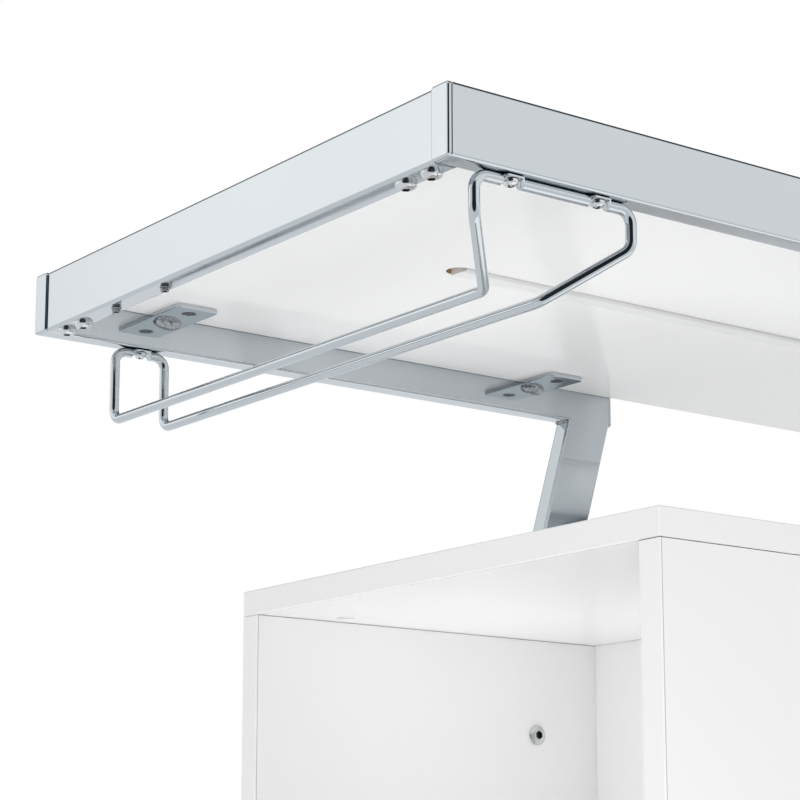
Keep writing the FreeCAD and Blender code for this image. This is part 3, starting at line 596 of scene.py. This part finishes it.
class WirePath:
    # a ring of edges that is pulled along a path
    def __init__(self, bm, start, along):
        self.bm = bm
        self.along = along.normalized()
        turn = up.rotation_difference(self.along).to_matrix().to_4x4()
        ring = bmesh.ops.create_circle(bm, cap_ends=False, segments=wireShape["sides"],
                                       radius=wireShape["radius"], matrix=Matrix.Translation(start) @ turn)
        self.middle = Vector(start)
        self.edges = edgesOf(ring["verts"])

    def pull(self, matrix):
        made = bmesh.ops.extrude_edge_only(self.bm, edges=self.edges)
        verts = [item for item in made["geom"] if isinstance(item, bmesh.types.BMVert)]
        self.edges = [item for item in made["geom"] if isinstance(item, bmesh.types.BMEdge)
                      and all(vert in verts for vert in item.verts)]
        bmesh.ops.transform(self.bm, matrix=matrix, verts=verts)
        self.middle = matrix @ self.middle

    def verts(self):
        return once(vert for edge in self.edges for vert in edge.verts)

    def straightTo(self, target):
        # short lengths at both ends keep the shading of the long one even
        way = Vector(target) - self.middle
        hold = wireShape["hold"] / way.length
        steps = [hold, 1 - 2 * hold, hold] if hold < 1 / 3 else [1]
        for step in steps:
            self.pull(Matrix.Translation(way * step))

    def bendTo(self, ahead):
        ahead = ahead.normalized()
        axis = self.along.cross(ahead).normalized()
        turn = self.along.angle(ahead)
        centre = self.middle + axis.cross(self.along) * wireShape["bend"]
        steps = max(2, round(wireShape["bendSteps"] * turn / (math.pi / 2)))
        step = Matrix.Rotation(turn / steps, 4, axis)
        for index in range(steps):
            self.pull(Matrix.Translation(centre) @ step @ Matrix.Translation(-centre))
        self.along = ahead

    def flatten(self, target, width, thickness, drop):
        # pull to target and press the ring to a new width (Y) and thickness (Z)
        end = Vector(target) + up * drop
        size = Matrix.Diagonal((1, width, thickness, 1))
        self.pull(Matrix.Translation(end) @ size @ Matrix.Translation(-self.middle))
        self.middle = end


def landPress():
    # a land's width and thickness as shares of the wire's, and how far its middle rises
    return (landShape["width"] / 2 / wireShape["radius"], landShape["thickness"] / 2 / wireShape["radius"],
            wireShape["radius"] - landShape["thickness"] / 2)


def pullLand(path, x):
    # the stretch of crossbar that is pressed flat under a screw
    half = landShape["length"] / 2
    outer = half + landShape["taper"]
    width, thickness, rise = landPress()
    y, z = path.middle.y, path.middle.z
    path.straightTo((x - outer, y, z))
    path.flatten((x - half, y, z), width, thickness, rise)
    path.straightTo((x + half, y, z + rise))
    path.flatten((x + outer, y, z + rise), 1 / width, 1 / thickness, -rise)


def makeRack(side):
    # one half of the loop, pulled from the middle of its mouth to the middle of its far end, then mirrored
    low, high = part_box(side + "_stemware_rack")
    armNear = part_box(side + "_near_arm")
    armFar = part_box(side + "_far_arm")
    middleX = (low.x + high.x) / 2
    nearY = (armNear[0].y + armNear[1].y) / 2
    farY = (armFar[0].y + armFar[1].y) / 2
    top = armNear[0].z - wireShape["radius"]
    railZ = armNear[0].z - rackShape["railDrop"]
    mouthZ = armNear[0].z - rackShape["mouthDrop"]
    mouthX = middleX + rackShape["mouth"]
    railX = middleX + rackShape["rail"]
    bm = bmesh.new()
    path = WirePath(bm, Vector((middleX, nearY, top)), sideX)
    thin = wireShape["seamSize"]  # the butt seam of the wire's two ends
    bmesh.ops.scale(bm, verts=path.verts(), vec=(1, thin, thin), space=Matrix.Translation(-path.middle))
    path.flatten((middleX + wireShape["seam"], nearY, top), 1 / thin, 1 / thin, 0)
    pullLand(path, middleX + landShape["reach"])
    points = [Vector((mouthX, nearY, top)), Vector((mouthX, nearY, mouthZ)),
              Vector((railX, nearY + rackShape["mouthRun"], railZ)), Vector((railX, farY, railZ)),
              Vector((railX, farY, top)), Vector((middleX, farY, top))]
    for corner, following in zip(points, points[1:]):
        ahead = (following - corner).normalized()
        trim = wireShape["bend"] * math.tan(path.along.angle(ahead) / 2)
        path.straightTo(corner - path.along * trim)
        path.bendTo(ahead)
    half = landShape["length"] / 2
    width, thickness, rise = landPress()
    path.straightTo((middleX + half + landShape["taper"], farY, top))
    path.flatten((middleX + half, farY, top), width, thickness, rise)
    path.straightTo((middleX, farY, top + rise))
    bmesh.ops.mirror(bm, geom=bm.verts[:] + bm.edges[:] + bm.faces[:], axis="X", merge_dist=1e-5,
                     matrix=Matrix.Translation((-middleX, 0, 0)))
    addPiece(bm, side + "StemwareRack", [chrome], [side + "_stemware_rack"], smoothBelow=70)


# Screws

beamScrew = {"head": 0.0057, "rise": 0.0038, "rimShare": 0.3, "socket": 0.0023, "deep": 0.0026,
             "pitch": 0.0208, "sides": 40}
legBolt = {"head": 0.00675, "rise": 0.003, "rim": 0.0009, "socket": 0.0029, "deep": 0.0024, "shank": 0.003,
           "heights": (0.629, 0.789), "sides": 40}
rackScrew = {"head": 0.0041, "rise": 0.0036, "rim": 0.0006, "slotWidth": 0.0010, "slotLength": 0.0044,
             "deep": 0.0014, "firstTurn": 0.4, "sides": 28}
dome = {"steps": 8, "coneShare": 0.08}


def domeProfile(head, rise, rim):
    # a low dome over a short straight rim
    points = [(head, 0), (head, -rim)]
    for step in range(1, dome["steps"]):
        share = step / dome["steps"]
        angle = share * math.pi / 2
        bulge = head * math.cos(angle) * (1 - dome["coneShare"])
        points.append((bulge + head * dome["coneShare"] * (1 - share), -rim - (rise - rim) * math.sin(angle)))
    points.append((0, -rise))
    return points


def hexSocket(cutter, screw, tip, along):
    # a hexagon hole in the tip of a screw
    turn = up.rotation_difference(along).to_matrix().to_4x4()
    bmesh.ops.create_cone(cutter, cap_ends=True, segments=6, radius1=screw["socket"], radius2=screw["socket"],
                          depth=screw["deep"] * 2, matrix=Matrix.Translation(tip) @ turn)


def makeBeamScrews(side):
    low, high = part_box(side + "_beam_screws")
    x = (low.x + high.x) / 2
    radius = beamScrew["head"]
    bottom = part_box(side + "_end_beam")[0].z
    profile = domeProfile(radius, beamScrew["rise"], beamScrew["rise"] * beamScrew["rimShare"])
    bm = bmesh.new()
    cutter = bmesh.new()
    for y in (low.y + radius, low.y + radius + beamScrew["pitch"],
              high.y - radius - beamScrew["pitch"], high.y - radius):
        seat = Vector((x, y, bottom))
        spinProfile(bm, profile, seat, up, beamScrew["sides"])
        hexSocket(cutter, beamScrew, seat - up * beamScrew["rise"], up)
    bmesh.ops.holes_fill(bm, edges=bm.edges)
    screws = addPiece(bm, side + "BeamScrews", [screwSteel, darkScrew],
                      [side + "_beam_screws"], smoothBelow=35)
    carve(screws, cutter, [darkScrew])


def crossCutter(bm, place):
    # a square bar with its four sides drawn out into the arms of a cross
    wide = rackScrew["slotWidth"]
    size = Matrix.Diagonal((wide, wide, rackScrew["deep"] * 2, 1))
    made = bmesh.ops.create_cube(bm, size=1, matrix=place @ size)
    bmesh.ops.recalc_face_normals(bm, faces=bm.faces)
    faces = once(face for vert in made["verts"] for face in vert.link_faces)
    sides = [face for face in faces if abs(face.normal.z) < 0.5]
    drawn = bmesh.ops.extrude_discrete_faces(bm, faces=sides)
    for face in drawn["faces"]:
        bmesh.ops.translate(bm, verts=face.verts, vec=face.normal * (rackScrew["slotLength"] - wide) / 2)


def makeRackScrews(side):
    # round-headed screws with a cross recess, under the lands: two at the mouth, one at the far end
    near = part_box(side + "_near_arm")
    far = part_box(side + "_far_arm")
    rackLow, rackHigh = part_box(side + "_stemware_rack")
    middle = (rackLow.x + rackHigh.x) / 2
    z = near[0].z - landShape["thickness"]
    nearY = (near[0].y + near[1].y) / 2
    farY = (far[0].y + far[1].y) / 2
    profile = domeProfile(rackScrew["head"], rackScrew["rise"], rackScrew["rim"])
    bm = bmesh.new()
    cutter = bmesh.new()
    places = ((middle - landShape["reach"], nearY), (middle + landShape["reach"], nearY), (middle, farY))
    for index, (x, y) in enumerate(places):
        spinProfile(bm, profile, Vector((x, y, z)), up, rackScrew["sides"])
        turn = Matrix.Rotation(rackScrew["firstTurn"] + index, 4, "Z")
        crossCutter(cutter, Matrix.Translation((x, y, z - rackScrew["rise"])) @ turn)
    bmesh.ops.holes_fill(bm, edges=bm.edges)
    screws = addPiece(bm, side + "RackScrews", [screwSteel, darkScrew],
                      [side + "_rack_screws"], smoothBelow=35)
    carve(screws, cutter, [darkScrew])


def makeSpareScrews(side):
    # headless screws: a thread of fine ridges and a socket in the lower end
    low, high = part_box(side + "_spare_screws")
    radius = (high.x - low.x) / 2
    root = radius - spareScrew["ridge"]
    length = high.z - low.z - spareScrew["lift"]
    pitch = spareScrew["pitch"]
    points = [(0, 0), (root, 0)]
    rise = pitch / 2
    while rise + pitch < length:
        points += [(radius, rise), (root, rise + pitch / 2)]
        rise += pitch
    points += [(root, length), (0, length)]
    bm = bmesh.new()
    cutter = bmesh.new()
    for seat in spareScrewPlaces(side):
        spinProfile(bm, points, seat, up, spareScrew["sides"])
        hexSocket(cutter, spareScrew, seat, up)
    screws = addPiece(bm, side + "SpareScrews", [threadSteel], [side + "_spare_screws"],
                      smoothBelow=20)
    carve(screws, cutter, [darkScrew])


def makeLegBolts():
    # domed bolts: heads on the panels' inner faces, shanks out to the legs
    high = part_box("leg_bolts")[1]
    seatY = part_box("near_left_panel")[1].y
    reach = high.y - abs(seatY)
    shank = [(0, reach), (legBolt["shank"], reach), (legBolt["shank"], 0)]
    profile = shank + domeProfile(legBolt["head"], legBolt["rise"], legBolt["rim"])
    lean = tubeShape["lean"]
    bm = bmesh.new()
    cutter = bmesh.new()
    for side, sign in ends.items():
        armLow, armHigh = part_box(side + "_near_arm")
        top = innerEnd(armLow, armHigh) + tubeShape["depth"] / 2 / math.cos(lean)
        for height in legBolt["heights"]:
            x = sign * (top + math.tan(lean) * (armLow.z - height))
            for seat, along in ((Vector((x, seatY, height)), -sideY), (Vector((x, -seatY, height)), sideY)):
                spinProfile(bm, profile, seat, along, legBolt["sides"])
                hexSocket(cutter, legBolt, seat - along * legBolt["rise"], along)
    bolts = addPiece(bm, "legBolts", [screwSteel, darkScrew], ["leg_bolts"], smoothBelow=35)
    carve(bolts, cutter, [darkScrew])


for build in (makeArms, makeBeam, makeArmCaps, makeTabs, makeTabWelds, makeCornerWelds):
    for side in ends:
        build(side)
print("frames made")
for side in ends:
    makeRack(side)
print("racks made")
makeLegBolts()
for side in ends:
    makeSpareScrews(side)
    makeBeamScrews(side)
    makeRackScrews(side)
print("screws made")


# Floor, light and camera

studio = {"floorSize": 30, "floorColour": (0.93, 0.93, 0.93), "floorRoughness": 0.6, "floorShine": 0.2,
          "softLight": 0.60}

# what metal sees: a plain tone, and laid over it: direction, where it begins and is full, tone
surround = (0.87, 0.89, 0.91)
reflected = [((0.70, -0.65, 0.20), 0.25, 0.80, (1.06, 1.06, 1.06)),  # near right wall
             ((-0.62, 0.70, 0.35), 0.92, 1.00, (1.38, 1.37, 1.35)),  # bright wall on the far left
             ((0.00, 0.00, 1.00), 0.36, 0.47, (0.98, 1.00, 1.00)),  # upper walls
             ((0.25, -0.55, -0.80), 0.52, 0.68, (0.82, 0.85, 0.87)),  # dull low wall on the near right
             ((0.55, -0.05, -0.83), 0.74, 0.92, (1.35, 1.35, 1.35)),  # bright floor below
             ((0.55, 0.10, 0.83), 0.66, 0.90, (0.05, 0.06, 0.07)),  # dark ceiling
             ((0.00, 0.80, 0.60), 0.93, 0.98, (0.12, 0.13, 0.15)),  # dark beam over the far wall
             ((0.57, 0.76, 0.35), 0.984, 0.994, (0.10, 0.11, 0.13)),  # dark screens straight behind
             ((0.47, 0.85, 0.27), 0.984, 0.994, (0.10, 0.11, 0.13)),
             ((-0.62, -0.78, 0.05), 0.70, 0.84, (0.02, 0.025, 0.03))]  # dark side behind the camera


def makeFloor():
    bm = bmesh.new()
    bmesh.ops.create_grid(bm, x_segments=1, y_segments=1, size=studio["floorSize"] / 2)
    mesh = bpy.data.meshes.new("floor")
    bm.to_mesh(mesh)
    bm.free()
    material, tree, shader = startMaterial("paleFloor")
    setSockets(shader, {"Base Color": (*studio["floorColour"], 1), "Roughness": studio["floorRoughness"],
                        "Specular IOR Level": studio["floorShine"]})
    mesh.materials.append(material)
    floor = bpy.data.objects.new("floor", mesh)
    floor.visible_glossy = False  # metal sees the world's own lower half
    bpy.context.scene.collection.objects.link(floor)


def directionMask(tree, place, direction, start, end):
    # 1 where the view direction lies near the given one
    dot = addNode(tree, "ShaderNodeVectorMath", operation="DOT_PRODUCT")
    dot.inputs[1].default_value = Vector(direction).normalized()
    join(tree, place.outputs["Generated"], dot.inputs[0])
    spread = addNode(tree, "ShaderNodeMapRange", interpolation_type="SMOOTHSTEP")
    setSockets(spread, {"From Min": start, "From Max": end})
    join(tree, dot.outputs["Value"], spread.inputs["Value"])
    return spread.outputs["Result"]


def chooseShader(tree, choice, otherwise, chosen):
    mix = tree.nodes.new("ShaderNodeMixShader")
    for value, socket in zip((choice, otherwise, chosen), mix.inputs):
        join(tree, value, socket)
    return mix.outputs["Shader"]


def makeWorld():
    # soft light for the surfaces, a studio for reflections, plain white for the camera
    world = bpy.data.worlds.new("studio")
    bpy.context.scene.world = world
    world.use_nodes = True
    tree = world.node_tree
    tree.nodes.clear()
    output = tree.nodes.new("ShaderNodeOutputWorld")
    path = tree.nodes.new("ShaderNodeLightPath").outputs
    place = tree.nodes.new("ShaderNodeTexCoord")
    soft = addNode(tree, "ShaderNodeBackground", Strength=studio["softLight"], Color=(1, 1, 1, 1))
    bright = addNode(tree, "ShaderNodeBackground", Strength=1.0, Color=(1, 1, 1, 1))
    seen = addNode(tree, "ShaderNodeBackground", Strength=1.0)
    colour = (*surround, 1)
    for direction, start, end, tone in reflected:
        colour = mixColour(tree, directionMask(tree, place, direction, start, end), colour, (*tone, 1))
    join(tree, colour, seen.inputs["Color"])
    lit = chooseShader(tree, path["Is Glossy Ray"], soft.outputs["Background"], seen.outputs["Background"])
    whole = chooseShader(tree, path["Is Camera Ray"], lit, bright.outputs["Background"])
    join(tree, whole, output.inputs["Surface"])


lamps = {"low": {"place": (-1.05, -0.85, 0.14), "aim": (-0.35, 0.05, 0.85), "size": (0.9, 0.2),
                 "power": 1.07, "spread": 70},
         "left": {"place": (-1.75, -0.25, 0.20), "aim": (-0.30, 0.05, 0.90), "size": (1.1, 0.3),
                  "power": 0.50, "spread": 70},
         "right": {"place": (2.0, -1.3, 0.25), "aim": (0, 0, 1.05), "size": (1.5, 0.4),
                   "power": 2.0, "spread": 70},
         "back": {"place": (1.2, 2.8, 1.4), "aim": (0, 0, 0.7), "size": (2.0, 2.0),
                  "power": 18, "spread": 180},
         "top": {"place": (0, 0.3, 3.2), "aim": (0, 0, 0.9), "size": (2.4, 2.4),
                 "power": 17, "spread": 180},
         "underCounter": {"place": (0, 0, 0.88), "aim": (0, 0, 1.0), "size": (0.9, 0.34),
                          "power": 0.20, "spread": 180}}
for side, sign in ends.items():
    lamps[side + "Inside"] = {"place": (sign * 0.28, 0.08, 0.46), "aim": (sign * 0.28, 0.08, 1.0),
                              "size": (0.15, 0.15), "power": 0.08, "spread": 70}


def makeLamps():
    for name, look in lamps.items():
        lamp = bpy.data.lights.new(name, "AREA")
        lamp.shape = "RECTANGLE"
        lamp.size, lamp.size_y = look["size"]
        lamp.spread = math.radians(look["spread"])
        lamp.energy = look["power"]
        holder = bpy.data.objects.new(name, lamp)
        holder.location = look["place"]
        aim = Vector(look["aim"]) - Vector(look["place"])
        holder.rotation_euler = aim.to_track_quat("-Z", "Y").to_euler()
        holder.visible_camera = False
        holder.visible_glossy = False
        bpy.context.scene.collection.objects.link(holder)


view = {"place": (-1.22584, -1.01653, 0.66556), "yaw": 36.558, "pitch": 11.017, "lens": 101.057,
        "sensor": 36, "shift": 0.10, "start": 0.01}


def makeCamera():
    camera = bpy.data.cameras.new("camera")
    camera.sensor_width = view["sensor"]
    camera.lens = view["lens"]
    camera.shift_y = view["shift"]
    camera.clip_start = view["start"]
    holder = bpy.data.objects.new("camera", camera)
    holder.location = view["place"]
    holder.rotation_euler = (math.radians(90 + view["pitch"]), 0, math.radians(-view["yaw"]))
    bpy.context.scene.collection.objects.link(holder)
    bpy.context.scene.camera = holder


makeFloor()
makeWorld()
makeLamps()
makeCamera()
bpy.context.scene.view_settings.view_transform = "Standard"
print("studio made")
